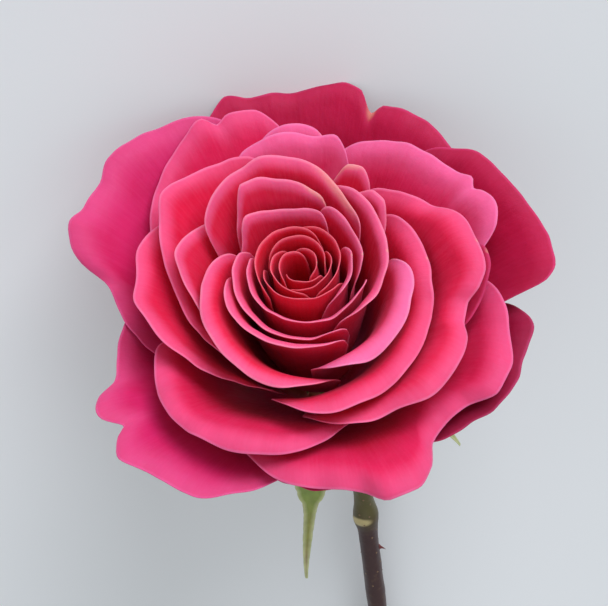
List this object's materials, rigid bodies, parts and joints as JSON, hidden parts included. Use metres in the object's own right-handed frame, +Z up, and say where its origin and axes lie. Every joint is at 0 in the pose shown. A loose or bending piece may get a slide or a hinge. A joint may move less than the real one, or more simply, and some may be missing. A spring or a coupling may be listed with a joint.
{
  "type": "cut rose",
  "caption": "Single fully open rose with layered, rolled-back petals on a bare, slightly prickly stem, cut and lying on a surface.",
  "frame": {"origin": "on the surface that the rose lies on, under the middle of its bounding box", "axes": "+Z up, +Y along the stem towards the cut end; the open face looks towards -Y and 28 degrees up"},
  "size_m": [0.1074, 0.217, 0.1019],
  "materials": {
    "petal": "matte velvety petal, hot pink",
    "guard_petal": "matte velvety petal, deep crimson pink",
    "bud_petal": "matte velvety petal, salmon pink",
    "sepal": "matte leaf green with pale edges",
    "stem": "smooth bark, green to purple brown"
  },
  "bodies": {
    "root": {"bud_petal_1_1": "bud_petal", "bud_petal_1_2": "bud_petal", "bud_petal_1_3": "bud_petal", "bud_petal_2_1": "bud_petal", "bud_petal_2_2": "bud_petal", "bud_petal_2_3": "bud_petal", "bud_petal_3_1": "bud_petal", "bud_petal_3_2": "bud_petal", "bud_petal_3_3": "bud_petal", "cup_petal_back": "petal", "cup_petal_left": "petal", "cup_petal_lower_right": "petal", "cup_petal_right": "petal", "cup_petal_top": "petal", "cup_petal_upper_left": "petal", "guard_petal_bottom": "guard_petal", "guard_petal_left": "guard_petal", "guard_petal_lower_left": "guard_petal", "guard_petal_lower_right": "guard_petal", "guard_petal_right": "guard_petal", "guard_petal_top": "guard_petal", "heart_petal_core_bottom": "petal", "heart_petal_core_right": "petal", "heart_petal_front": "petal", "heart_petal_hood": "petal", "heart_petal_inner_bottom": "petal", "heart_petal_inner_right": "petal", "heart_petal_inner_top": "petal", "heart_petal_left": "petal", "heart_petal_lobe": "petal", "heart_petal_lower_left": "petal", "heart_petal_lower_right": "petal", "heart_petal_ribbon": "petal", "heart_petal_right": "petal", "heart_petal_top": "petal", "sepal_1": "sepal", "sepal_2": "sepal", "sepal_3": "sepal", "sepal_4": "sepal", "sepal_5": "sepal", "skirt_petal_bottom": "petal", "skirt_petal_lower_left": "petal", "skirt_petal_right": "petal", "skirt_petal_upper_left": "petal", "skirt_petal_upper_right": "petal", "stem": "stem"}
  },
  "joints": []
}
